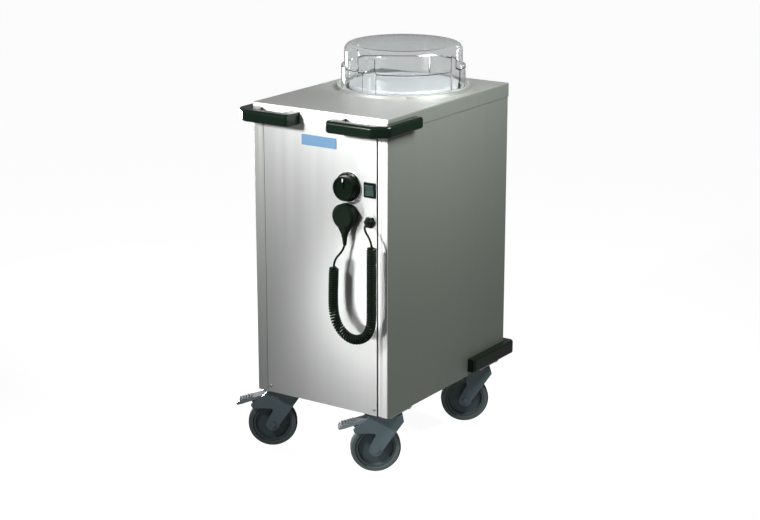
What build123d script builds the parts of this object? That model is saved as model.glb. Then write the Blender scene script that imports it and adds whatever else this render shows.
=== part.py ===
from build123d import *
import os
from math import atan2, cos, degrees, radians, sin, tan

os.makedirs("parts", exist_ok=True)

# Heated plate dispenser with one sprung well, in mm, +Z up, front towards -Y.
# Every piece is drawn about the cabinet's centre line, with z = 0 on the floor.
# The saved parts are moved so that the origin is the floor point under the bounding box's middle.
CAB_X, CAB_Y = 25.8, 16.0

# Cabinet
CAB_W = 394.0
CAB_D = 560.0
CAB_H = 900.0
BODY_Z = 163.0
SHEET = 1.2
TOP_SHEET = 1.5
SKIRT = 35.0
LAP = 0.2
POST_W = 28.0
POST_FACE = 14.0
POST_STEP = 2.5
RETURN = 14.0
TRAY_SHEET = 2.0
TRAY_LIP = 30.0
SHADOW_GAP = 3.0

# Well, its raised collar and the sprung platform
WELL_Y = 88.0
COLLAR_R = 173.0
COLLAR_H = 8.0
LAND_R = 159.0
LAND_H = 4.0
TUBE_R = 146.5
TUBE_SHEET = 1.2
TUBE_BOTTOM = 200.0
LIP_DEPTH = 22.0
DISC_R = 137.0
DISC_RISE = 12.0
DISC_SHEET = 2.0
DISC_SKIRT = 22.0
CARRIER_DROP = 230.0
SLOT_END = 30.0
ARM_W = 16.0
ARM_T = 4.0
HOOK_R = TUBE_R + 18.5
ARM_R = HOOK_R + 11.0
SLOT_W = 24.0
SPRING_R = 8.0
WIRE_R = 1.0
ANCHOR_Z = CAB_H - 32.0

# Lift-off dome
DOME_R = 156.5
DOME_UP_R = 149.0
DOME_STEP = 55.0
DOME_H = 114.0
DOME_WALL = 3.0
DOME_TURN = 18.0
DOME_RISE = 6.0
FLUTE_R = 24.0
FLUTE_DEEP = 11.0
FLUTE_TOP = 86.0

# Front fittings: each centre's distance in from the right side and its height
KNOB_X, KNOB_Z = CAB_W / 2 - 112.5, 725.0
KNOB_R, KNOB_DEEP = 33.0, 22.0
BEZEL_R, BEZEL_T = 37.5, 3.0
SHAFT_R, SHAFT_RUN = 3.0, 0.05
SWITCH_X, SWITCH_Z = CAB_W / 2 - 51.5, 725.5
SWITCH_W, SWITCH_H = 33.0, 37.0
PLUG_Z = 657.0
SOCKET_R, SOCKET_T = 27.0, 8.0
PLUG_R, PLUG_DEEP = 31.0, 22.0
PIN_X = 9.5
GLAND_X, GLAND_Z = CAB_W / 2 - 50.0, 648.0
GLAND_R = 14.5
BADGE_X, BADGE_Z, BADGE_W, BADGE_H = -0.5, 825.0, 101.0, 26.0

# Mains cord: straight runs and the curly stretch, hanging in a U in front of the panel
CORD_R = 2.7
CORD_SIDES = 8
COIL_R = 10.0
COIL_Y = -36.0
COIL_LEFT, COIL_RIGHT = 67.0, 175.0
COIL_TOP_LEFT, COIL_TOP_RIGHT = 535.0, 600.0
COIL_BEND_Z = 421.0

# Push handles and corner bumpers
HANDLE_Z, HANDLE_H = CAB_H - 39.0, 29.0
HANDLE_OUT = 22.0
HANDLE_FRONT = 54.0
GRIP_DEEP = 24.0
HANDLE_IN = 56.0
HANDLE_LEG = 120.0
BUMPER_Z, BUMPER_H = BODY_Z + 12.0, 34.0
BUMPER_LEG = 185.0

# Casters
PIVOT_X, PIVOT_Y = CAB_W / 2 - 39.0, CAB_D / 2 - 68.5
WHEEL_R = 62.5
WHEEL_W = 28.0
TYRE_T = 13.0
AXLE_R = 4.0
TRAIL = 35.0
TRAIL_DIR = (-0.8, -0.6)
FORK_GAP = 35.0
FORK_T = 6.0
PLATE_W, PLATE_D, PLATE_T = 76.0, 94.0, 3.0
BOLT_X, BOLT_Y = 56.0, 76.0
RACE_R = 26.0
RACE_H = 9.0
SWIVEL_GAP = 0.3
BOSS_R = 17.0
WING_X, WING_Z = 92.0, 103.0


def save(name, shape):
    """Moves a piece into the part's frame and writes it as one node."""
    placed = Pos(CAB_X, CAB_Y, 0) * shape
    export_step(placed, f"parts/{name}.step")
    print(name, "volume cm3", round(placed.volume / 1000, 1))


def block(x, y, z):
    """A box between two values on each axis."""
    centre = Pos((x[0] + x[1]) / 2, (y[0] + y[1]) / 2, (z[0] + z[1]) / 2)
    return centre * Box(x[1] - x[0], y[1] - y[0], z[1] - z[0])


def prism(points, height):
    """An outline in plan, pushed up from z = 0."""
    return extrude(make_face(Polyline(*points, close=True)), height)


def spun(points):
    """A closed outline of (radius, height) turned once about Z."""
    outline = Polyline(*[(r, 0, z) for r, z in points], close=True)
    return revolve(make_face(outline), Axis.Z)


def facing_front(x, z, shape, y=0.0):
    """Stands a piece drawn along +Z on the front face, with its +Z towards the front."""
    return Pos(x, -CAB_D / 2 - y, z) * Rot(90, 0, 0) * shape


def ring(r_out, r_in, height):
    return extrude(Circle(r_out) - Circle(r_in), height)


def mirrored(shape):
    return mirror(shape, about=Plane.YZ)


PANEL_X = CAB_W / 2 - TOP_SHEET - LAP
PANEL_Y = CAB_D / 2 - TOP_SHEET - LAP
PANEL_TOP = CAB_H - TOP_SHEET - LAP
TRAY_TOP = BODY_Z + TRAY_SHEET
FACE = -TOP_SHEET - LAP + 0.05
SCREW_INSET = 8.0
SCREW_X = PANEL_X - POST_W - SHADOW_GAP - SCREW_INSET
SCREW_PLACES = [(side * SCREW_X, BODY_Z + TRAY_LIP / 2) for side in (-1, 1)]


def side_panel():
    """Right side sheet, folded round the front corner into a stepped post and turned in at the back."""
    x, y, t = PANEL_X, PANEL_Y, SHEET
    step = POST_STEP
    outer = [(x, y), (x, -y), (x - POST_FACE, -y), (x - POST_FACE - 8, -y + step), (x - POST_W, -y + step)]
    inner = [(x - POST_W, -y + step + t), (x - POST_FACE - 8.4, -y + step + t),
             (x - POST_FACE - 0.4, -y + t), (x - t, -y + t), (x - t, y - t)]
    back = [(x - RETURN, y - t), (x - RETURN, y)]
    sheet = prism(outer + inner + back, PANEL_TOP - BODY_Z)
    for corner_y in (-y, y):
        corner = sheet.edges().filter_by(Axis.Z).sort_by_distance((x, corner_y, 300))[0]
        sheet = fillet(corner, 2.6)
    for corner_y in (-y + t, y - t):
        corner = sheet.edges().filter_by(Axis.Z).sort_by_distance((x - t, corner_y, 300))[0]
        sheet = fillet(corner, 1.4)
    return Pos(0, 0, BODY_Z) * sheet


def top_cover():
    """Folded top with a skirt all round and a pressed collar round the well."""
    outer = extrude(RectangleRounded(CAB_W, CAB_D, 4), SKIRT)
    outer = fillet(outer.edges().group_by(Axis.Z)[-1], 3)
    inner = extrude(RectangleRounded(CAB_W - 2 * TOP_SHEET, CAB_D - 2 * TOP_SHEET, 2.5), SKIRT - TOP_SHEET)
    shell = Pos(0, 0, CAB_H - SKIRT) * (outer - inner)
    hole = Pos(0, WELL_Y, CAB_H - SKIRT) * Cylinder(COLLAR_R, 3 * SKIRT)
    t, h = TOP_SHEET, CAB_H
    lip_r = TUBE_R - LAP / 2
    collar = spun([(COLLAR_R + 0.01, h - t), (COLLAR_R + 0.01, h), (COLLAR_R - 3, h + COLLAR_H - 2),
                   (COLLAR_R - 5, h + COLLAR_H), (LAND_R + 4, h + COLLAR_H), (LAND_R + 2, h + COLLAR_H - 1),
                   (LAND_R, h + LAND_H), (lip_r - t + 2, h + LAND_H), (lip_r - t, h + LAND_H - 2),
                   (lip_r - t, h - LIP_DEPTH), (lip_r, h - LIP_DEPTH), (lip_r, h + LAND_H - t - 0.6),
                   (lip_r + 0.6, h + LAND_H - t), (LAND_R + 1.2, h + LAND_H - t),
                   (LAND_R + 3.2, h + COLLAR_H - t - 0.8), (COLLAR_R - 5.4, h + COLLAR_H - t),
                   (COLLAR_R - 4.6, h + COLLAR_H - t - 0.8), (COLLAR_R - 2, h - t)])
    return (shell - hole) + Pos(0, WELL_Y, 0) * collar


def back_panel():
    """Sheet between the side panels' turned edges, on their inner faces, with an air grille low down."""
    y = PANEL_Y - SHEET - LAP / 2
    sheet = block((-PANEL_X + 3, PANEL_X - 3), (y - SHEET, y), (BODY_Z + TRAY_SHEET + LAP, PANEL_TOP))
    slot = Box(60, 10, 5)
    for i in range(-1, 2):
        for j in range(4):
            sheet -= Pos(i * 80, y, 240 + 14 * j) * slot
    return sheet


def front_panel():
    """Removable front: a tray-folded sheet between the posts, holed for its fittings."""
    half = PANEL_X - POST_W - SHADOW_GAP
    y, t = -PANEL_Y, SHEET
    low, high = BODY_Z, PANEL_TOP
    sheet = block((-half, half), (y, y + t), (low, high))
    for side in (-1, 1):
        edge = side * half
        x = sorted((edge, edge - side * t))
        sheet += block(x, (y, y + RETURN), (low + TRAY_LIP + 2, high))
    for x, z, r in ((KNOB_X, KNOB_Z, 5.0), (GLAND_X, GLAND_Z, 6.0), (KNOB_X, PLUG_Z, 21.0)):
        sheet -= facing_front(x, z, Cylinder(r, 20))
    for x, z in SCREW_PLACES:
        sheet -= facing_front(x, z, Cylinder(2.1, 20))
    return sheet - facing_front(SWITCH_X, SWITCH_Z, Box(SWITCH_W - 6, SWITCH_H - 6, 20))


def base_tray():
    """Folded floor of the cabinet with an upturned lip, notched round the front posts."""
    x, back, front = PANEL_X - SHEET - LAP, PANEL_Y - 2 * SHEET - LAP, -PANEL_Y + SHEET + LAP / 2
    notch_x, notch_y = PANEL_X - POST_W - 4, front + 6
    plan = [(x, back), (x, notch_y), (notch_x, notch_y), (notch_x, front),
            (-notch_x, front), (-notch_x, notch_y), (-x, notch_y), (-x, back)]
    floor = prism(plan, TRAY_SHEET)
    outline = make_face(Polyline(*plan, close=True))
    walls = extrude(outline - offset(outline, -TRAY_SHEET), TRAY_LIP)
    return Pos(0, 0, BODY_Z) * (floor + walls) - Pos(0, WELL_Y, BODY_Z) * Cylinder(40, 20)


def well_tube():
    """Round well with a slot for each carrier arm."""
    top = CAB_H + LAND_H - TOP_SHEET - 0.9
    tube = Pos(0, WELL_Y, TUBE_BOTTOM) * ring(TUBE_R + TUBE_SHEET, TUBE_R, top - TUBE_BOTTOM)
    return tube - [slot_cut(a) for a in ARM_ANGLES]


ARM_ANGLES = (30.0, 150.0, 270.0)
ARM_Z = CAB_H + DISC_RISE - CARRIER_DROP


def slot_cut(angle):
    low, high = TUBE_BOTTOM + SLOT_END, ARM_Z + ARM_T + 0.4
    slot = block((TUBE_R - 10, TUBE_R + 10), (-SLOT_W / 2, SLOT_W / 2), (low, high))
    return Pos(0, WELL_Y, 0) * Rot(0, 0, angle) * slot


def spring_ring():
    """Welded ring outside the tube that the lift springs hang from."""
    hanger = ring(HOOK_R + 10, TUBE_R + TUBE_SHEET + 0.1, 2.5)
    for a in ARM_ANGLES:
        hanger -= Rot(0, 0, a) * Pos(HOOK_R, 0, 0) * Cylinder(2.5, 20)
    return Pos(0, WELL_Y, ANCHOR_Z) * hanger


def platform_disc():
    """Plate with a rounded, turned-down edge."""
    r, t = DISC_R, DISC_SHEET
    edge = 5.0
    shape = spun([(0, 0), (r - edge, 0), (r - edge * 0.3, -edge * 0.3), (r, -edge), (r, -DISC_SKIRT),
                  (r - t, -DISC_SKIRT), (r - t, -edge), (r - edge, -t), (0, -t)])
    return Pos(0, WELL_Y, CAB_H + DISC_RISE) * shape


def platform_carrier():
    """Three straps from the disc down to a ring whose arms pass through the tube's slots."""
    top = CAB_H + DISC_RISE - DISC_SHEET
    carrier = Pos(0, 0, ARM_Z) * ring(118, 92, ARM_T)
    for a in ARM_ANGLES:
        arm = Pos((100 + ARM_R) / 2, 0, ARM_Z + ARM_T / 2) * Box(ARM_R - 100, ARM_W, ARM_T)
        arm -= Pos(HOOK_R, 0, ARM_Z) * Cylinder(2.5, 20)
        strap = block((100, 103), (-15, 15), (ARM_Z + 1, top))
        foot = block((100, 125), (-15, 15), (top - 3, top))
        carrier += Rot(0, 0, a) * (arm + strap + foot)
    return Pos(0, WELL_Y, 0) * carrier


def lift_springs():
    """Close-wound springs as plain sleeves of their outer size, each with a hook at both ends."""
    low, high = ARM_Z + ARM_T + 12, ANCHOR_Z - 12
    springs = []
    for a in ARM_ANGLES:
        body = Pos(0, 0, low) * extrude(Circle(SPRING_R), high - low)
        stem_low = block((-WIRE_R, WIRE_R), (-WIRE_R, WIRE_R), (ARM_Z - 1.5, low + 1))
        stem_high = block((-WIRE_R, WIRE_R), (-WIRE_R, WIRE_R), (high - 1, ANCHOR_Z + 4))
        cross_low = block((-4, 4), (-WIRE_R, WIRE_R), (ARM_Z - 2.2, ARM_Z - 0.2))
        cross_high = block((-4, 4), (-WIRE_R, WIRE_R), (ANCHOR_Z + 2.7, ANCHOR_Z + 4.7))
        spring = body + stem_low + stem_high + cross_low + cross_high
        springs.append(Pos(0, WELL_Y, 0) * Rot(0, 0, a) * Pos(HOOK_R, 0, 0) * spring)
    return Compound(springs)


def dome_cover():
    """Clear moulded dome with a stepped wall, rounded shoulder and four finger flutes."""
    def solid(wall):
        r, up = DOME_R - wall, DOME_UP_R - wall
        base = -1.0 if wall else 0.0
        step, top = DOME_STEP - wall, DOME_H - wall
        side = Polyline((0, 0, base), (r, 0, base), (r, 0, step - 3), (up, 0, step + 1),
                        (up, 0, top - DOME_RISE - DOME_TURN + wall))
        turn_r = DOME_TURN - wall
        flat_r = up - turn_r
        rise = DOME_RISE
        centre_z = top - rise - turn_r
        slant = turn_r * cos(radians(45))
        shoulder = ThreePointArc((up, 0, centre_z), (flat_r + slant, 0, centre_z + slant), (flat_r, 0, top - rise))
        ball_r = (flat_r ** 2 + rise ** 2) / (2 * rise)
        half_z = top - ball_r + (ball_r ** 2 - (flat_r / 2) ** 2) ** 0.5
        crown = ThreePointArc((flat_r, 0, top - rise), (flat_r / 2, 0, half_z), (0, 0, top))
        axis = Line((0, 0, top), (0, 0, base))
        body = revolve(make_face(side + shoulder + crown + axis), Axis.Z)
        for a in range(0, 360, 90):
            reach = DOME_R - FLUTE_DEEP + FLUTE_R
            flute = Pos(reach, 0, 0) * extrude(Circle(FLUTE_R + wall), FLUTE_TOP + wall)
            body -= Rot(0, 0, a) * Pos(0, 0, base - 1) * flute
        return body
    return Pos(0, WELL_Y, CAB_H + LAND_H) * (solid(0.0) - solid(DOME_WALL))


def thermostat_body():
    """Thermostat housing behind the panel, on a bracket, with a bore for the knob's shaft."""
    y = SHEET + TOP_SHEET + LAP
    case = Pos(0, 0, -22) * Box(44, 44, 36)
    body = case + Pos(0, 0, -4.1) * extrude(Circle(8), 4.0)
    body -= Pos(0, 0, -14) * Cylinder(SHAFT_R + SHAFT_RUN, 60)
    return facing_front(KNOB_X, KNOB_Z, body, -y)


def thermostat_bezel():
    """Chromed dished ring under the knob."""
    t = BEZEL_T
    dish = spun([(5.2, 0), (BEZEL_R, 0), (BEZEL_R, 1), (BEZEL_R - 1.5, t), (BEZEL_R - 3.5, t),
                 (BEZEL_R - 5, 1.6), (5.2, 1.6)])
    return facing_front(KNOB_X, KNOB_Z, dish, FACE)


def thermostat_knob():
    """Round knob with finger scallops, a pointer rib and its shaft."""
    r, deep = KNOB_R, KNOB_DEEP
    knob = spun([(0, 0), (r, 0), (r, 5), (r - 2, 7), (r - 3.5, deep - 2), (r - 5.5, deep),
                 (r - 9, deep), (r - 12, deep - 2.5), (0, deep - 2.5)])
    scallops = [Rot(0, 0, a) * Pos(r + 1.2, 0, 7.5) * extrude(Circle(2.6), deep) for a in range(0, 360, 20)]
    knob -= scallops
    knob += Pos(0, (r - 6) / 2, deep - 2.6) * Box(5, r - 6, 3.2, align=(Align.CENTER, Align.CENTER, Align.MIN))
    shaft = Pos(0, 0, -40) * extrude(Circle(SHAFT_R), 41)
    hollow = Pos(0, 0, -0.5) * ring(r - 3, 8, 9)
    return facing_front(KNOB_X, KNOB_Z, Pos(0, 0, BEZEL_T) * (knob - hollow + shaft), 0.3 - TOP_SHEET)


def switch_frame():
    """Snap-in rocker switch body with a raised rim."""
    rim = extrude(RectangleRounded(SWITCH_W, SWITCH_H, 2) - Rectangle(SWITCH_W - 8, SWITCH_H - 8), 3)
    rim = chamfer(rim.edges().group_by(Axis.Z)[-1].filter_by(GeomType.LINE), 0.6)
    w, h = SWITCH_W - 6.4, SWITCH_H - 6.4
    well = extrude(Rectangle(w, h) - Rectangle(w - 1.6, h - 1.6), -22)
    floor = Pos(0, 0, -22) * extrude(Rectangle(w, h), 4)
    pin = Pos(0, 0, -PIN_DROP) * Rot(0, 90, 0) * Cylinder(1.6, w - 1)
    return facing_front(SWITCH_X, SWITCH_Z, rim + well + floor + pin, FACE)


ROCK = 16.0
PIN_DROP = 4.0


def rocker():
    """Lit rocker with a shallow V front on its cross pin, stored pressed in at its lower end."""
    half = (SWITCH_H - 11) / 2
    side = Polyline((-half, 8.5), (0, 6.5), (half, 8.5), (half, 2), (5, -5), (-5, -5), (-half, 2), close=True)
    body = extrude(Plane.YZ * make_face(side), (SWITCH_W - 9.4) / 2, both=True)
    body = fillet(body.edges().filter_by(Axis.X).group_by(Axis.Z)[-1], 1)
    body -= Rot(0, 90, 0) * Cylinder(1.7, 40)
    placed = Pos(0, 0, -PIN_DROP) * Rot(ROCK / 2, 0, 0) * body
    return facing_front(SWITCH_X, SWITCH_Z, placed, FACE)


def parking_socket():
    """Blank socket that the plug is parked in: a flanged cup with two pin holes."""
    cup = extrude(Circle(SOCKET_R), SOCKET_T)
    cup += extrude(Circle(20.5), -24)
    for side in (-1, 1):
        cup -= Pos(side * PIN_X, 0, -12) * Cylinder(2.6, 60)
    return facing_front(KNOB_X, PLUG_Z, cup, FACE)


PLUG_BACK = SOCKET_T + 0.1


def mains_plug():
    """Side-entry plug: a round head that narrows into a ribbed strain relief."""
    head = extrude(Circle(PLUG_R), PLUG_DEEP)
    head = chamfer(head.edges().group_by(Axis.Z)[-1], 6)
    neck = loft([Pos(0, -18, 11) * Rot(90, 0, 0) * Ellipse(24, 10), Pos(2, -44, 12) * Rot(90, 0, 0) * Circle(8)])
    relief = Pos(2, -44, 12) * Rot(90, 0, 0) * extrude(Circle(8), 4)
    relief += Pos(2, -48, 12) * Rot(90, 0, 0) * Cone(7, 4.2, 22, align=(Align.CENTER, Align.CENTER, Align.MIN))
    plug = head + neck + relief
    plug -= Pos(2, -58, 12) * Rot(90, 0, 0) * extrude(Circle(CORD_R + 0.1), 20)
    for side in (-1, 1):
        plug += Pos(side * PIN_X, 0, -18) * extrude(Circle(2.4), 18.5)
    return facing_front(KNOB_X, PLUG_Z, plug, PLUG_BACK + FACE)


def cable_gland():
    """Hexagon gland with a domed nut round the cord."""
    nut = extrude(RegularPolygon(GLAND_R, 6), 8) + Pos(0, 0, 8) * Cone(12.5, 9, 6, align=(Align.CENTER,) * 2 + (Align.MIN,))
    nut += extrude(Circle(5.8), -14)
    nut -= Cylinder(CORD_R + 0.1, 80)
    return facing_front(GLAND_X, GLAND_Z, nut, FACE)


def run_path(points):
    """Straight runs joined by arcs of 0.45 of the shorter run beside each corner."""
    radii = []
    for a, b, c in zip(points, points[1:], points[2:]):
        before, after = Vector(*b) - Vector(*a), Vector(*c) - Vector(*b)
        turn = radians(before.get_angle(after))
        radii.append(0.45 * min(before.length, after.length) / tan(turn / 2))
    print("cord corner radii", [round(r, 1) for r in radii])
    return FilletPolyline(*points, radius=radii)


def cord_solid(path, radius):
    return sweep(Plane(origin=path @ 0, z_dir=path % 0) * RegularPolygon(radius, CORD_SIDES), path=path)


COIL_LINE = -CAB_D / 2 + COIL_Y
GLAND_BORE = -CAB_D / 2 + 1.0
PLUG_X, PLUG_END = KNOB_X + 2, PLUG_Z - 70.0
PLUG_LINE = -CAB_D / 2 - PLUG_BACK - FACE - 12

GLAND_ROUTE = [(GLAND_X, GLAND_BORE, GLAND_Z), (GLAND_X, COIL_LINE, GLAND_Z),
               (COIL_RIGHT, COIL_LINE, COIL_TOP_RIGHT + 13), (COIL_RIGHT, COIL_LINE, COIL_TOP_RIGHT)]
PLUG_ROUTE = [(PLUG_X, PLUG_LINE, PLUG_END + 10), (PLUG_X, PLUG_LINE, PLUG_END - 9),
              (COIL_LEFT, COIL_LINE, COIL_TOP_LEFT + 17), (COIL_LEFT, COIL_LINE, COIL_TOP_LEFT)]


def curly_cord():
    """The curly stretch as one tube of its outer diameter, hanging in a U."""
    radius = (COIL_RIGHT - COIL_LEFT) / 2
    left = Line((COIL_LEFT, COIL_LINE, COIL_TOP_LEFT), (COIL_LEFT, COIL_LINE, COIL_BEND_Z))
    bend = ThreePointArc((COIL_LEFT, COIL_LINE, COIL_BEND_Z),
                         (COIL_LEFT + radius, COIL_LINE, COIL_BEND_Z - radius),
                         (COIL_RIGHT, COIL_LINE, COIL_BEND_Z))
    right = Line((COIL_RIGHT, COIL_LINE, COIL_BEND_Z), (COIL_RIGHT, COIL_LINE, COIL_TOP_RIGHT))
    path = Wire([left.edge(), bend.edge(), right.edge()])
    print("curly stretch along its line", round(path.length))
    return sweep(Plane(origin=(COIL_LEFT, COIL_LINE, COIL_TOP_LEFT), z_dir=(0, 0, -1)) * Circle(COIL_R), path=path)


def push_handle():
    """Right-hand push handle: a grip bar across the front, a corner block and a leg along the side."""
    x1, y1 = CAB_W / 2, -CAB_D / 2
    out, front = x1 + HANDLE_OUT, y1 - HANDLE_FRONT
    inner = front + GRIP_DEEP
    plan = [(HANDLE_IN, front + 4), (HANDLE_IN + 5, front), (x1 - 12, front), (out - 3, y1 - 28),
            (out, y1 - 20), (out, y1 + HANDLE_LEG), (x1 + 0.1, y1 + HANDLE_LEG), (x1 + 0.1, y1 - 0.1),
            (x1 - 30, y1 - 0.1), (x1 - 42, inner), (HANDLE_IN + 30, inner), (HANDLE_IN + 24, y1 - 0.1),
            (HANDLE_IN, y1 - 0.1)]
    body = prism(plan, HANDLE_H)
    for spot, r in (((x1 - 12, front, 14), 14), ((out - 3, y1 - 28, 14), 10), ((out, y1 + HANDLE_LEG, 14), 5)):
        body = fillet(body.edges().filter_by(Axis.Z).sort_by_distance(spot)[0], r)
    body = Pos(0, 0, HANDLE_Z) * body
    rim = body.edges().filter_by(Plane.XY).filter_by(lambda e: e.center().Y < inner - 4 or e.center().X > out - 6)
    return fillet(rim, 7)


def rear_bumper():
    """Right rear corner bumper: an L round the corner with a rounded outer nose."""
    x1, y1 = CAB_W / 2, CAB_D / 2
    plan = [(x1 - 1.6, y1 - BUMPER_LEG), (x1 + 16, y1 - BUMPER_LEG), (x1 + 20, y1 - BUMPER_LEG + 8),
            (x1 + 20, y1 + 22), (x1 - 60, y1 + 22), (x1 - 66, y1 + 14), (x1 - 66, y1 - 1.6),
            (x1 - 1.6, y1 - 1.6)]
    body = prism(plan, BUMPER_H)
    body = fillet(body.edges().filter_by(Axis.Z).sort_by_distance((x1 + 20, y1 + 22, 17))[0], 16)
    rim = body.edges().filter_by(Plane.XY).filter_by(lambda e: e.center().X > x1 + 10 or e.center().Y > y1 + 10)
    return Pos(0, 0, BUMPER_Z) * fillet(rim, 4)


def badge():
    """Plain mounting plate under the handles' gap."""
    plate = extrude(RectangleRounded(BADGE_W, BADGE_H, 2), 1.2)
    return facing_front(BADGE_X, BADGE_Z, plate, FACE)


def heater():
    """Band heater round the front of the well's foot, on two posts that stand on the tray."""
    band_r, band_z = 172.0, 320.0
    band = ring(band_r + 4, band_r - 4, 24)
    keep = prism([(0, 0), (-220, -100), (-220, -240), (220, -240), (220, -100)], 24)
    band = Pos(0, WELL_Y, band_z) * (band & keep)
    for a in (215, 325):
        x, y = band_r * cos(radians(a)), WELL_Y + band_r * sin(radians(a))
        post = block((x - 3, x + 3), (y - 3, y + 3), (TRAY_TOP, band_z + 2))
        foot = block((x - 12, x + 12), (y - 12, y + 12), (TRAY_TOP, TRAY_TOP + 2))
        band += post + foot
    return band


def terminal_box():
    """Moulded box behind the gland that the mains cord is wired into."""
    x, y, z = GLAND_X - 4, -PANEL_Y + SHEET + 32, GLAND_Z
    case = block((x - 32, x + 32), (y - 12, y + 14), (z - 40, z + 34))
    return fillet(case.edges().filter_by(Axis.Y), 3)


def screw(radius, head, length):
    """Pan-head screw drawn along +Z, with its head above z = 0."""
    pan = spun([(0, 0), (radius, 0), (radius, head * 0.4), (radius * 0.6, head), (0, head)])
    return pan + extrude(Circle(radius * 0.5), -length)


def cross_bar():
    """Channel between the side panels that carries the thermostat, switch box and terminal box."""
    half = PANEL_X - SHEET - LAP / 2
    y = -PANEL_Y + SHEET + 46.0
    return block((-half, half), (y, y + SHEET), (GLAND_Z - 40, GLAND_Z + 100))


TRAIL_TURN = degrees(atan2(TRAIL_DIR[1], TRAIL_DIR[0]))
RACE_Z = BODY_Z - PLATE_T - RACE_H
CROWN_TOP = RACE_Z - SWIVEL_GAP
CROWN_LOW = WHEEL_R * 2 + 6.0
KINGPIN_R = 6.0
PEDAL_PIN = (34.0, 138.0)
PEDAL_W = 34.0
PEDAL_R = 2.5


def at_caster(x, y, shape, turned=True):
    """Moves a piece drawn round the swivel axis, with the wheel trailing towards +X, to a caster's place."""
    turn = Rot(0, 0, TRAIL_TURN) if turned else Rot(0, 0, 0)
    return Pos(x, y, 0) * turn * shape


def across(x, z, shape):
    """Lays a piece drawn along Z across the wheel, centred on a point of its middle plane."""
    return Pos(x, 0, z) * Rot(90, 0, 0) * shape


def caster_plate():
    """Top plate, the ball race housing and the headed king pin."""
    outline = chamfer(Rectangle(PLATE_W, PLATE_D).vertices(), 6)
    plate = Pos(0, 0, BODY_Z - PLATE_T) * extrude(outline, PLATE_T)
    race = Pos(0, 0, RACE_Z) * Cone(RACE_R - 4, RACE_R, RACE_H, align=(Align.CENTER, Align.CENTER, Align.MIN))
    head = CROWN_LOW - SWIVEL_GAP
    pin = Pos(0, 0, head) * extrude(Circle(KINGPIN_R), RACE_Z - head + 1)
    nut = Pos(0, 0, head - 3) * extrude(RegularPolygon(11, 6), 3)
    return plate + race + pin + nut


def caster_bolts():
    """Heads of the four hexagon bolts that hold a plate up to the tray."""
    bolts = []
    for x in (-BOLT_X / 2, BOLT_X / 2):
        for y in (-BOLT_Y / 2, BOLT_Y / 2):
            bolts.append(Pos(x, y, BODY_Z - PLATE_T - 4.5) * extrude(RegularPolygon(7, 6), 4.4))
    return bolts


def caster_fork(braked):
    """Moulded fork: a crown round the king pin and two tapering cheeks down to the axle."""
    low, high, half = CROWN_LOW, CROWN_TOP, FORK_GAP / 2
    wing = [(TRAIL + 25, WING_Z + 3), (WING_X - 6, WING_Z + 3), (WING_X, WING_Z + 13), (WING_X - 30, high - 12)]
    notch = (TRAIL - 3, WING_Z + 1)
    cheek = make_face(Polyline((-30, high), (-34, low + 4), (TRAIL - BOSS_R, WHEEL_R - 2),
                               (TRAIL + BOSS_R, WHEEL_R + 4), notch, *(wing if braked else []),
                               (TRAIL + (12 if braked else 1), high), close=True))
    cheek = fillet(cheek.vertices(), 5) + Pos(TRAIL, WHEEL_R) * Circle(BOSS_R)
    slab = extrude(Plane.XZ * cheek, half + FORK_T, both=True)
    wheel_well = Pos(TRAIL, 0, WHEEL_R) * Rot(90, 0, 0) * Cylinder(WHEEL_R + 6, FORK_GAP)
    throat = block((-40, WING_X), (-half, half), (0, WHEEL_R + 20))
    fork = slab - wheel_well - throat
    fork -= Cylinder(KINGPIN_R + 0.05, 400)
    fork -= Pos(0, 0, low - 20) * extrude(Circle(14), 20)
    fork -= across(TRAIL, WHEEL_R, Cylinder(AXLE_R + 0.1, 80))
    if braked:
        slot = half + 0.4
        fork -= block((PEDAL_PIN[0] - 10, WING_X + 1), (-slot, slot), (WHEEL_R, high + 1))
        fork -= across(*PEDAL_PIN, Cylinder(PEDAL_R + 0.05, 80))
    return fork


def axle_bolt():
    """Axle with a head outside each cheek."""
    half = FORK_GAP / 2 + FORK_T
    bolt = Cylinder(AXLE_R, 2 * half)
    head = extrude(RegularPolygon(7.5, 6), 4)
    bolt += Pos(0, 0, half + 0.05) * head + Pos(0, 0, -half - 4.05) * head
    bolt += Cylinder(AXLE_R, 2 * half + 0.4)
    return across(TRAIL, WHEEL_R, bolt)


def wheel_hub():
    """Plastic wheel centre: a boss, a dished web and a rim."""
    boss, rim_r = FORK_GAP / 2 - 0.4, WHEEL_R - TYRE_T
    web, rim_w = 4.0, WHEEL_W / 2 - 2
    hub = spun([(AXLE_R + 0.05, -boss), (12, -boss), (14, -web), (rim_r - 8, -web), (rim_r - 5, -rim_w),
                (rim_r, -rim_w), (rim_r, rim_w), (rim_r - 5, rim_w), (rim_r - 8, web), (14, web),
                (12, boss), (AXLE_R + 0.05, boss)])
    return across(TRAIL, WHEEL_R, hub)


def wheel_tyre():
    """Soft tread with rounded shoulders."""
    half, low = WHEEL_W / 2, WHEEL_R - TYRE_T
    shape = spun([(low, -half + 1), (low + 2, -half), (WHEEL_R - 4, -half), (WHEEL_R, -half + 7),
                  (WHEEL_R, half - 7), (WHEEL_R - 4, half), (low + 2, half), (low, half - 1)])
    return across(TRAIL, WHEEL_R, shape)


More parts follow.
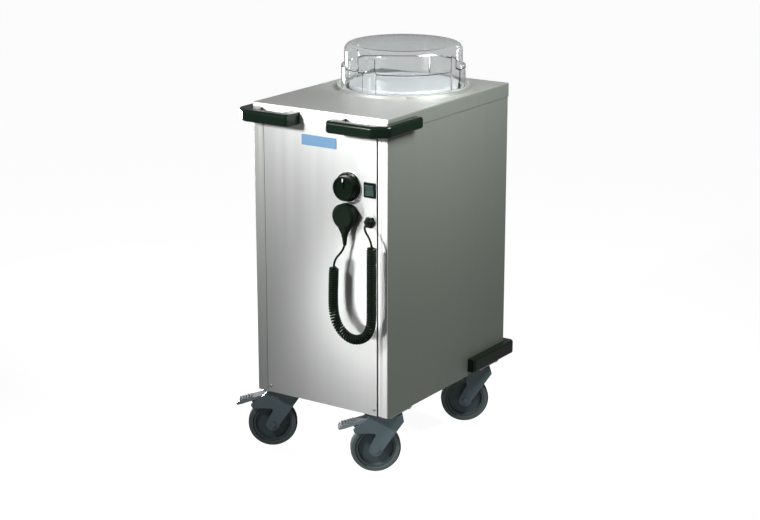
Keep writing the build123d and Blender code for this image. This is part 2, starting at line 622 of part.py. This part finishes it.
def brake_pedal():
    """Foot pedal hinged in the fork's crown, with a ribbed toe plate beyond the wheel."""
    x, z = PEDAL_PIN
    side = make_face(Polyline((x - 7, z + 5), (x + 4, z + 6), (x + 30, z + 1), (x + 84, z - 13), (x + 94, z - 19),
                              (x + 91, z - 24), (x + 78, z - 21), (x + 30, z - 6), (x + 5, z - 6),
                              (x - 7, z - 5), close=True))
    pedal = extrude(Plane.XZ * side, PEDAL_W / 2, both=True)
    for i in range(5):
        pedal += Pos(x + 56 + 7 * i, 0, z - 5.2 - 1.82 * i) * Rot(0, 14.6, 0) * Box(2.4, PEDAL_W - 4, 4)
    pin = across(x, z, Cylinder(PEDAL_R, FORK_GAP + 2 * FORK_T - 1))
    return pedal + pin


def front_screws():
    """Pan-head screws that hold the front panel to the tray's lip."""
    return [facing_front(x, z, screw(4, 2.2, SHEET), FACE) for x, z in SCREW_PLACES]


CASTERS = (("front_left", -1, -1), ("front_right", 1, -1), ("rear_left", -1, 1), ("rear_right", 1, 1))

for side, mate in (("right", lambda s: s), ("left", mirrored)):
    save(f"side_panel_{side}", mate(side_panel()))
    save(f"push_handle_{side}", mate(push_handle()))
    save(f"rear_bumper_{side}", mate(rear_bumper()))
save("top_cover", top_cover())
save("back_panel", back_panel())
save("front_panel", front_panel())
save("base_tray", base_tray())
save("well_tube", well_tube())
save("spring_ring", spring_ring())
save("platform_disc", platform_disc())
save("platform_carrier", platform_carrier())
save("lift_springs", lift_springs())
save("dome_cover", dome_cover())
save("thermostat_body", thermostat_body())
save("thermostat_bezel", thermostat_bezel())
save("thermostat_knob", thermostat_knob())
save("switch_frame", switch_frame())
save("rocker", rocker())
save("parking_socket", parking_socket())
save("mains_plug", mains_plug())
save("cable_gland", cable_gland())
save("cord_at_gland", cord_solid(run_path(GLAND_ROUTE), CORD_R))
save("cord_at_plug", cord_solid(run_path(PLUG_ROUTE), CORD_R))
save("curly_cord", curly_cord())
save("name_plate_blank", badge())
save("heater", heater())
save("terminal_box", terminal_box())
save("cross_bar", cross_bar())
save("front_screws", Compound(front_screws()))
for name, side_x, side_y in CASTERS:
    x, y = side_x * PIVOT_X, side_y * PIVOT_Y
    braked = side_y < 0
    save(f"caster_plate_{name}", at_caster(x, y, caster_plate(), False))
    save(f"caster_fork_{name}", at_caster(x, y, caster_fork(braked)))
    save(f"axle_{name}", at_caster(x, y, axle_bolt()))
    save(f"wheel_hub_{name}", at_caster(x, y, wheel_hub()))
    save(f"tyre_{name}", at_caster(x, y, wheel_tyre()))
    if braked:
        save(f"brake_pedal_{name}", at_caster(x, y, brake_pedal()))
save("caster_bolts", Compound([at_caster(sx * PIVOT_X, sy * PIVOT_Y, b, False)
                               for _, sx, sy in CASTERS for b in caster_bolts()]))
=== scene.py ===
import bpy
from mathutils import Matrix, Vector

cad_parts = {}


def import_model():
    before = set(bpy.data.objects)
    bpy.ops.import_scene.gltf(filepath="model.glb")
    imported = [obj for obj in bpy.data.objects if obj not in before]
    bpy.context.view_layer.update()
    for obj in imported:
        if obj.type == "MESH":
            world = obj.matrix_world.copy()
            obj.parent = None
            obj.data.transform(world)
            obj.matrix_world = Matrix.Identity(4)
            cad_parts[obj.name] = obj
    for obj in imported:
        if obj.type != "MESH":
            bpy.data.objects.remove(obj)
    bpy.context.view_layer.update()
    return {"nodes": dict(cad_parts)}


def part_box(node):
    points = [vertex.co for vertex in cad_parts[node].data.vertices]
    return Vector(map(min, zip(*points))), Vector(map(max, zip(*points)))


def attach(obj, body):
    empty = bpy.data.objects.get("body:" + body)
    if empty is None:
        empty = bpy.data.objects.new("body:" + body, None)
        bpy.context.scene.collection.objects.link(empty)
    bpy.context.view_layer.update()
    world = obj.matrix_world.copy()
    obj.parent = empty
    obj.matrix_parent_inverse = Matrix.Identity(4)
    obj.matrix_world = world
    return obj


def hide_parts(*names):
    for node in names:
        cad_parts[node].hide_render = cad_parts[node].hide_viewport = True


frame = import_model()

import math

import bmesh
import bpy
from mathutils import Vector

# Sizes and places come from the frame, in metres. The front faces -Y.
NODES = frame["nodes"]
MM = 0.001


def span(node):
    """The lowest and highest corner of a CAD node's box."""
    low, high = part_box(node)
    return Vector(low), Vector(high)


FRONT_Y = span("front_panel")[0].y


# Materials
def principled(name, colour, rough, metal=0.0, **sockets):
    """A new material with one Principled shader, its tree and that shader."""
    material = bpy.data.materials.new(name)
    material.use_nodes = True
    tree = material.node_tree
    shader = tree.nodes["Principled BSDF"]
    shader.inputs["Base Color"].default_value = (*colour, 1)
    shader.inputs["Roughness"].default_value = rough
    shader.inputs["Metallic"].default_value = metal
    for socket, value in sockets.items():
        shader.inputs[socket.replace("_", " ")].default_value = value
    return material, tree, shader


def object_noise(tree, scale, stretch, detail=3.0):
    """Noise in the object's own coordinates, stretched along the axes given."""
    place = tree.nodes.new("ShaderNodeTexCoord")
    mapping = tree.nodes.new("ShaderNodeMapping")
    mapping.inputs["Scale"].default_value = stretch
    noise = tree.nodes.new("ShaderNodeTexNoise")
    noise.inputs["Scale"].default_value = scale
    noise.inputs["Detail"].default_value = detail
    tree.links.new(place.outputs["Object"], mapping.inputs["Vector"])
    tree.links.new(mapping.outputs["Vector"], noise.inputs["Vector"])
    return noise.outputs["Fac"]


def remap(tree, value, low, high):
    """The value, from 0 to 1, laid over another range."""
    node = tree.nodes.new("ShaderNodeMapRange")
    node.inputs["To Min"].default_value = low
    node.inputs["To Max"].default_value = high
    tree.links.new(value, node.inputs["Value"])
    return node.outputs["Result"]


def bump(tree, shader, value, distance, strength):
    """Lifts the surface by the value, in the shading alone."""
    node = tree.nodes.new("ShaderNodeBump")
    node.inputs["Distance"].default_value = distance
    node.inputs["Strength"].default_value = strength
    tree.links.new(value, node.inputs["Height"])
    tree.links.new(node.outputs["Normal"], shader.inputs["Normal"])


def brushed(name, colour, rough, stretch, metal=0.45, streak=0.03):
    """Sheet steel with a fine grain along one direction and faint cloudy patches."""
    material, tree, shader = principled(name, colour, rough, metal)
    grain = object_noise(tree, 60, stretch, 4)
    cloud = object_noise(tree, 3.5, (1, 1, 1), 2)
    tree.links.new(remap(tree, grain, rough - 0.03, rough + 0.03), shader.inputs["Roughness"])
    mixed = tree.nodes.new("ShaderNodeMath")
    mixed.operation = "ADD"
    tree.links.new(remap(tree, grain, -streak, streak), mixed.inputs[0])
    tree.links.new(remap(tree, cloud, 1 - streak, 1 + streak), mixed.inputs[1])
    tint = tree.nodes.new("ShaderNodeVectorMath")
    tint.operation = "SCALE"
    tint.inputs[0].default_value = colour
    tree.links.new(mixed.outputs[0], tint.inputs["Scale"])
    tree.links.new(tint.outputs[0], shader.inputs["Base Color"])
    bump(tree, shader, grain, 0.05 * MM, 0.25)
    return material


def grained(name, colour, rough, size=900, depth=0.06, **sockets):
    """Moulded plastic or rubber with a fine skin texture."""
    material, tree, shader = principled(name, colour, rough, **sockets)
    skin = object_noise(tree, size, (1, 1, 1), 2)
    tree.links.new(remap(tree, skin, rough - 0.06, rough + 0.08), shader.inputs["Roughness"])
    bump(tree, shader, skin, depth * MM, 0.4)
    return material


def clear_plastic():
    """Moulded clear plastic, a little grey through its thickness."""
    material, tree, shader = principled("clear dome plastic", (0.72, 0.735, 0.735), 0.03)
    shader.inputs["Transmission Weight"].default_value = 1.0
    shader.inputs["IOR"].default_value = 1.45
    return material


VERTICAL = (1, 1, 0.02)
ALONG_X = (0.02, 1, 1)
PANEL = brushed("brushed panel steel", (0.78, 0.79, 0.78), 0.43, VERTICAL, 0.85)
# A darker copy of the front panel's steel: painted shade for the sides, the back, the base tray and the top
# cover's side skirts.
SHADE_DARKENED_STEEL = brushed("steel darkened as painted shade", (0.24, 0.265, 0.228), 0.45, VERTICAL, 0.4)
# One steel in two copies: darkened on the left post as painted shade, brightened on the right post and the
# top's front as painted light.
LEFT_POST_PAINTED_SHADE = brushed("left post steel darkened as painted shade", (0.6, 0.62, 0.6), 0.4, VERTICAL, 0.6)
STEEL_BRIGHTENED_AS_PAINTED_LIGHT = brushed("steel brightened as painted light", (0.9, 0.9, 0.89), 0.5, VERTICAL, 0.5)
TOP = brushed("brushed top steel", (0.6, 0.61, 0.59), 0.36, ALONG_X, 0.7)
# The well steel is darkened: painted shade for the well tube and the platform carrier inside it.
WELL_STEEL_PAINTED_SHADE = brushed("well steel darkened as painted shade", (0.30, 0.32, 0.32), 0.35, VERTICAL)
DISC = principled("platform steel", (0.46, 0.49, 0.5), 0.28, 0.4)[0]
ZINC = principled("zinc plated steel", (0.45, 0.46, 0.47), 0.35, 0.8)[0]
CHROME = principled("polished trim", (0.75, 0.75, 0.75), 0.12, 1.0)[0]
CLEAR = clear_plastic()
GLOSS_BLACK = {"Specular_IOR_Level": 0.14}
HANDLE = grained("black handle plastic", (0.003, 0.01, 0.005), 0.2, 900, 0.02, Specular_IOR_Level=0.35)
KNOB = grained("black knob plastic", (0.002, 0.007, 0.003), 0.3, 500, 0.01, **GLOSS_BLACK)
INNER = grained("dark inner plastic", (0.05, 0.05, 0.05), 0.5)
ROCKER = principled("dark green rocker", (0.03, 0.06, 0.055), 0.3)[0]
RUBBER = grained("black cord rubber", (0.003, 0.009, 0.004), 0.42, 1200, 0.03, **GLOSS_BLACK)
PLATE = grained("pale blue plate", (0.13, 0.25, 0.4), 0.4, 900, 0.01)
FORK = grained("blue grey fork plastic", (0.18, 0.25, 0.28), 0.4, 900, 0.04)
PEDAL = grained("light grey pedal plastic", (0.34, 0.39, 0.41), 0.45, 900, 0.04)
HUB = grained("dark wheel centre", (0.11, 0.15, 0.155), 0.45, 900, 0.04)
TYRE = grained("grey tyre rubber", (0.17, 0.21, 0.205), 0.6, 600)
TREAD = grained("dark tread", (0.03, 0.035, 0.035), 0.6, 600)
MARK = grained("white pointer", (0.85, 0.85, 0.83), 0.4, 1200, 0.01)

FRONT_CASTERS = ("front_left", "front_right")
CASTERS = FRONT_CASTERS + ("rear_left", "rear_right")

FINISH = {
    # The side panels, the back panel and the base tray take the steel darkened as painted shade.
    "front_panel": PANEL, "side_panel_left": SHADE_DARKENED_STEEL, "side_panel_right": SHADE_DARKENED_STEEL, "back_panel": SHADE_DARKENED_STEEL,
    # The well tube and the platform carrier take the well steel darkened as painted shade.
    "top_cover": TOP, "base_tray": SHADE_DARKENED_STEEL, "well_tube": WELL_STEEL_PAINTED_SHADE, "spring_ring": ZINC, "lift_springs": ZINC,
    "platform_disc": DISC, "platform_carrier": WELL_STEEL_PAINTED_SHADE, "dome_cover": CLEAR, "push_handle_left": HANDLE,
    "push_handle_right": HANDLE, "rear_bumper_left": HANDLE, "rear_bumper_right": HANDLE,
    "thermostat_body": INNER, "thermostat_bezel": CHROME, "thermostat_knob": KNOB, "switch_frame": KNOB,
    "rocker": ROCKER, "parking_socket": KNOB, "mains_plug": RUBBER, "cable_gland": KNOB,
    "name_plate_blank": PLATE, "heater": ZINC, "terminal_box": INNER, "cross_bar": ZINC,
    "front_screws": ZINC, "caster_bolts": ZINC,
}
for corner in CASTERS:
    FINISH[f"caster_plate_{corner}"] = ZINC
    FINISH[f"caster_fork_{corner}"] = FORK
    FINISH[f"axle_{corner}"] = FORK
    FINISH[f"wheel_hub_{corner}"] = HUB
    FINISH[f"tyre_{corner}"] = TYRE
for corner in FRONT_CASTERS:
    FINISH[f"brake_pedal_{corner}"] = PEDAL

# Edge rounding in millimetres: the sheet metal's, and the softer edges of single pieces
SHEET_EDGE = 0.3
WIDE_EDGE = 2
SHARP_ANGLE = math.radians(35)
SMOOTH_ANGLE = math.radians(32)
ROUNDING = {"push_handle_left": 11, "push_handle_right": 11, "rear_bumper_left": 3, "rear_bumper_right": 3,
            "thermostat_knob": 0.5, "parking_socket": 0.5, "mains_plug": 0.6, "platform_disc": 0.4}
for corner in CASTERS:
    ROUNDING[f"caster_fork_{corner}"] = 1.2
for corner in FRONT_CASTERS:
    ROUNDING[f"brake_pedal_{corner}"] = 0.9


def dress(name, obj):
    """Gives a CAD node its material and rounded edges. The clear dome's walls stay as they are."""
    obj.data.materials.clear()
    obj.data.materials.append(FINISH[name])
    if name == "dome_cover":
        return
    width = ROUNDING.get(name, SHEET_EDGE)
    bevel = obj.modifiers.new("rounded edges", "BEVEL")
    bevel.width = width * MM
    bevel.segments = 4 if width > WIDE_EDGE else 2
    bevel.limit_method = "ANGLE"
    bevel.angle_limit = SHARP_ANGLE


FOLD_REACH = 8 * MM


def ahead(face):
    """True for a face that looks forwards from the cabinet's front, the folded posts included."""
    return face.normal.y < -0.5 and face.center.y < FRONT_Y + FOLD_REACH


def aside(face):
    """True for a face that looks to either side."""
    return abs(face.normal.x) > 0.5


def running(face):
    """True for a face of a tyre's tread. The side walls look along the axle, mostly along Y."""
    return abs(face.normal.y) < 0.6


def refinish(name, finish, chosen):
    """Gives the chosen faces of a CAD node another finish."""
    data = NODES[name].data
    data.materials.append(finish)
    for face in data.polygons:
        if chosen(face):
            face.material_index = len(data.materials) - 1


for name, node in NODES.items():
    if name in FINISH:
        dress(name, node)
        for face in node.data.polygons:
            face.use_smooth = True
        node.data.set_sharp_from_angle(angle=SMOOTH_ANGLE)
# The front-facing post folds take the darkened and brightened steels: painted shade on the left, painted
# light on the right.
refinish("side_panel_left", LEFT_POST_PAINTED_SHADE, ahead)
refinish("side_panel_right", STEEL_BRIGHTENED_AS_PAINTED_LIGHT, ahead)
# The top cover's side skirt faces take the darkened steel: painted shade.
refinish("top_cover", SHADE_DARKENED_STEEL, aside)
# The top cover's front skirt takes the brightened steel: painted light.
refinish("top_cover", STEEL_BRIGHTENED_AS_PAINTED_LIGHT, ahead)
for corner in CASTERS:
    refinish(f"tyre_{corner}", TREAD, running)
NODES["dome_cover"].visible_shadow = False


# The white mark, its place on the rib and the part of it that stands in the rib
MARK_WIDE, MARK_TALL, MARK_THICK = 3 * MM, 9 * MM, 0.4 * MM
RIB_END = 6 * MM
MARK_INSET = 1.5 * MM
MARK_SUNK = 0.2 * MM
MARK_POINTS = 24


def pointer_mark():
    """White pill-shaped mark on the outer end of the knob's pointer rib."""
    low, high = span("thermostat_knob")
    centre_x = (low.x + high.x) / 2
    centre_z = high.z - RIB_END - MARK_INSET - MARK_TALL / 2
    radius = MARK_WIDE / 2
    mesh = bmesh.new()
    outline = []
    for i in range(MARK_POINTS):
        angle = 2 * math.pi * i / MARK_POINTS
        lift = (MARK_TALL / 2 - radius) * (1 if math.sin(angle) >= 0 else -1)
        x = centre_x + radius * math.cos(angle)
        z = centre_z + radius * math.sin(angle) + lift
        outline.append(mesh.verts.new((x, low.y + MARK_SUNK, z)))
    face = mesh.faces.new(outline)
    moved = bmesh.ops.extrude_face_region(mesh, geom=[face])["geom"]
    front = [v for v in moved if isinstance(v, bmesh.types.BMVert)]
    bmesh.ops.translate(mesh, verts=front, vec=(0, -MARK_THICK, 0))
    bmesh.ops.recalc_face_normals(mesh, faces=mesh.faces)
    data = bpy.data.meshes.new("knob_pointer_mark")
    mesh.to_mesh(data)
    mesh.free()
    mark = bpy.data.objects.new("knob_pointer_mark", data)
    bpy.context.scene.collection.objects.link(mark)
    data.materials.append(MARK)
    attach(mark, "knob")


pointer_mark()


# Mains cord. Route points are in millimetres about the cabinet's centre line, like the solid's own.
CORD_R = 2.7 * MM
CURL_R = 9.6 * MM
CURL_PITCH = 5.8 * MM
TURN_STEPS = 16
RUN_STEPS = 30
CAD_X, CAD_Y = 25.8 * MM, 16.0 * MM
GLAND_ROUTE = [(147, -279, 648), (147, -316, 648), (175, -316, 613), (175, -316, 600)]
COIL_ROUTE = [(175, -316, 600), (175, -316, 440), (174, -316, 403), (160, -316, 375), (133, -316, 362),
              (108, -316, 364), (83, -316, 381), (67, -316, 410), (63, -316, 450), (67, -316, 535)]
PLUG_ROUTE = [(67, -316, 535), (67, -316, 552), (86.5, -298.45, 578), (86.5, -298.45, 597)]


def row_points(points):
    """Route points given in millimetres about the cabinet's centre line, in the row frame."""
    return [Vector((x * MM + CAD_X, y * MM + CAD_Y, z * MM)) for x, y, z in points]


def nurbs_line(points):
    """The points of a smooth NURBS line with these control points."""
    curve = bpy.data.curves.new("route", "CURVE")
    curve.dimensions = "3D"
    spline = curve.splines.new("NURBS")
    spline.points.add(len(points) - 1)
    for point, place in zip(spline.points, points):
        point.co = (*place, 1)
    spline.order_u = 3
    spline.use_endpoint_u = True
    spline.resolution_u = 24
    obj = bpy.data.objects.new("route", curve)
    bpy.context.scene.collection.objects.link(obj)
    mesh = bpy.data.meshes.new_from_object(obj)
    line = [v.co.copy() for v in mesh.vertices]
    bpy.data.objects.remove(obj)
    return line


def even(line, count):
    """The line again as count + 1 points at even steps along it."""
    marks = [0.0]
    for a, b in zip(line, line[1:]):
        marks.append(marks[-1] + (b - a).length)
    out, at = [], 0
    for i in range(count + 1):
        target = marks[-1] * i / count
        while at < len(line) - 2 and marks[at + 1] < target:
            at += 1
        step = marks[at + 1] - marks[at]
        out.append(line[at].lerp(line[at + 1], (target - marks[at]) / step if step else 0))
    return out


def helix(line):
    """Curls round a line, opened in a bend by as much as the bend shuts their inner side."""
    length = sum((b - a).length for a, b in zip(line, line[1:]))
    steps = round(length / CURL_PITCH * TURN_STEPS)
    spine = even(line, steps)
    step = length / steps
    front = Vector((0, 1, 0))
    out, angle = [], 0.0
    for i, place in enumerate(spine):
        before = place - spine[max(i - TURN_STEPS, 0)]
        after = spine[min(i + TURN_STEPS, steps)] - place
        ahead = (before + after).normalized()
        bend = before.angle(after) / (TURN_STEPS * step) if before.length and after.length else 0.0
        across = ahead.cross(front)
        radius = CURL_R * math.sin(min(1, i / TURN_STEPS, (steps - i) / TURN_STEPS) * math.pi / 2)
        out.append(place + (front * math.cos(angle) + across * math.sin(angle)) * radius)
        angle += 2 * math.pi * step / (CURL_PITCH * (1 + CURL_R * bend))
    return out


def tube(name, path, radius, sides=10):
    """A closed tube along a path, with a frame that turns as little as it can."""
    mesh = bmesh.new()
    rings, normal = [], None
    for i, place in enumerate(path):
        ahead = (path[min(i + 1, len(path) - 1)] - path[max(i - 1, 0)]).normalized()
        normal = (normal or ahead.orthogonal())
        normal = (normal - ahead * normal.dot(ahead)).normalized()
        side = ahead.cross(normal)
        rings.append([mesh.verts.new(place + (normal * math.cos(a) + side * math.sin(a)) * radius)
                      for a in (2 * math.pi * k / sides for k in range(sides))])
    for a, b in zip(rings, rings[1:]):
        for k in range(sides):
            mesh.faces.new((a[k], a[(k + 1) % sides], b[(k + 1) % sides], b[k]))
    mesh.faces.new(list(reversed(rings[0])))
    mesh.faces.new(rings[-1])
    data = bpy.data.meshes.new(name)
    mesh.to_mesh(data)
    mesh.free()
    for face in data.polygons:
        face.use_smooth = True
    obj = bpy.data.objects.new(name, data)
    bpy.context.scene.collection.objects.link(obj)
    return obj


def mains_cord():
    """One cord from the gland, through the curls, to the parked plug."""
    head = nurbs_line(row_points(GLAND_ROUTE))
    body = helix(nurbs_line(row_points(COIL_ROUTE)))
    tail = nurbs_line(row_points(PLUG_ROUTE))
    path = even(head, RUN_STEPS) + body[1:-1] + even(tail, RUN_STEPS)
    cord = tube("mains_cord", path, CORD_R)
    cord.data.materials.append(RUBBER)
    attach(cord, "cabinet")
    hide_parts("curly_cord", "cord_at_gland", "cord_at_plug")


mains_cord()


# Room, lights and camera
def lamp(name, place, target, size, power, spread):
    """An area lamp aimed at a point, its light kept within a cone of so many degrees."""
    data = bpy.data.lights.new(name, "AREA")
    data.shape = "RECTANGLE"
    data.size, data.size_y = size, size
    data.energy = power
    data.spread = math.radians(spread)
    obj = bpy.data.objects.new(name, data)
    obj.location = place
    obj.rotation_euler = (Vector(target) - Vector(place)).to_track_quat("-Z", "Y").to_euler()
    bpy.context.scene.collection.objects.link(obj)


# How white the surroundings are in a mirrored ray, where the camera sees them at full strength
MIRRORED_WHITE = 0.12
FLOOR_REACH = 12.0
FLOOR_GLOW = 0.94
AIR_LIGHT = 0.09


def white_to_view(tree, strength):
    """A white glow, and the rays that see it: the camera's, mirrored ones and those through clear plastic."""
    glow = tree.nodes.new("ShaderNodeEmission")
    glow.inputs["Strength"].default_value = strength
    seen = tree.nodes.new("ShaderNodeLightPath")
    rays = seen.outputs["Is Camera Ray"]
    for kind, share in (("Is Glossy Ray", MIRRORED_WHITE), ("Is Transmission Ray", 1.0)):
        part = tree.nodes.new("ShaderNodeMath")
        part.operation = "MULTIPLY"
        part.inputs[1].default_value = share
        tree.links.new(seen.outputs[kind], part.inputs[0])
        either = tree.nodes.new("ShaderNodeMath")
        either.operation = "MAXIMUM"
        tree.links.new(rays, either.inputs[0])
        tree.links.new(part.outputs[0], either.inputs[1])
        rays = either.outputs[0]
    return glow.outputs[0], rays


def floor():
    """Plain floor that shows as white and keeps the object's shadow."""
    data = bpy.data.meshes.new("floor")
    corners = [(x * FLOOR_REACH, y * FLOOR_REACH, 0) for x, y in ((-1, -1), (1, -1), (1, 1), (-1, 1))]
    data.from_pydata(corners, [], [(0, 1, 2, 3)])
    obj = bpy.data.objects.new("floor", data)
    bpy.context.scene.collection.objects.link(obj)
    material, tree, shader = principled("white floor", (0.25, 0.25, 0.25), 0.9)
    glow, rays = white_to_view(tree, FLOOR_GLOW)
    mix = tree.nodes.new("ShaderNodeMixShader")
    add = tree.nodes.new("ShaderNodeAddShader")
    tree.links.new(shader.outputs[0], add.inputs[0])
    tree.links.new(glow, add.inputs[1])
    tree.links.new(rays, mix.inputs["Fac"])
    tree.links.new(shader.outputs[0], mix.inputs[1])
    tree.links.new(add.outputs[0], mix.inputs[2])
    tree.links.new(mix.outputs[0], tree.nodes["Material Output"].inputs["Surface"])
    data.materials.append(material)


def world():
    """Soft grey light from all round, white where the object is seen past, mirrored or looked through."""
    scene_world = bpy.data.worlds.new("studio")
    bpy.context.scene.world = scene_world
    scene_world.use_nodes = True
    tree = scene_world.node_tree
    back = tree.nodes["Background"]
    back.inputs["Color"].default_value = (0.9, 0.93, 0.95, 1)
    back.inputs["Strength"].default_value = AIR_LIGHT
    glow, rays = white_to_view(tree, 1.0)
    mix = tree.nodes.new("ShaderNodeMixShader")
    tree.links.new(rays, mix.inputs["Fac"])
    tree.links.new(back.outputs[0], mix.inputs[1])
    tree.links.new(glow, mix.inputs[2])
    tree.links.new(mix.outputs[0], tree.nodes["World Output"].inputs["Surface"])


# The camera's place about the cabinet's centre line in metres, its turn and tilt in radians, its lens in mm
EYE = (2.543, -3.822, 1.782)
YAW, PITCH = -0.5893, 0.2793
LENS, SENSOR = 88.8, 36


def camera():
    """The photograph's viewpoint, on the right of the front and a little above the top."""
    data = bpy.data.cameras.new("camera")
    data.sensor_width = SENSOR
    data.lens = LENS
    obj = bpy.data.objects.new("camera", data)
    obj.location = Vector(EYE) + Vector((CAD_X, CAD_Y, 0))
    level = math.cos(PITCH)
    look = Vector((math.sin(YAW) * level, math.cos(YAW) * level, -math.sin(PITCH)))
    obj.rotation_euler = look.to_track_quat("-Z", "Y").to_euler()
    bpy.context.scene.collection.objects.link(obj)
    bpy.context.scene.camera = obj


floor()
world()
camera()
# Name, place, target, side, watts and spread: the front's main light, one for its lower right, one for
# the top and the right side, and one for the left side and the back
lamp("key", (-0.3, -1.35, 1.22), (0.35, -0.27, 1.02), 0.14, 9.0, 95)
lamp("low_fill", (-0.3, -1.05, 0.25), (1.0, -0.27, 0.25), 0.2, 1.05, 90)
lamp("overhead", (0.95, 0.0, 1.6), (0.0, 0.0, 0.95), 0.6, 13, 130)
lamp("far_left", (-2.35, 0.95, 0.45), (-0.1, 0.25, 0.35), 0.4, 9, 50)
bpy.context.scene.view_settings.view_transform = "Standard"
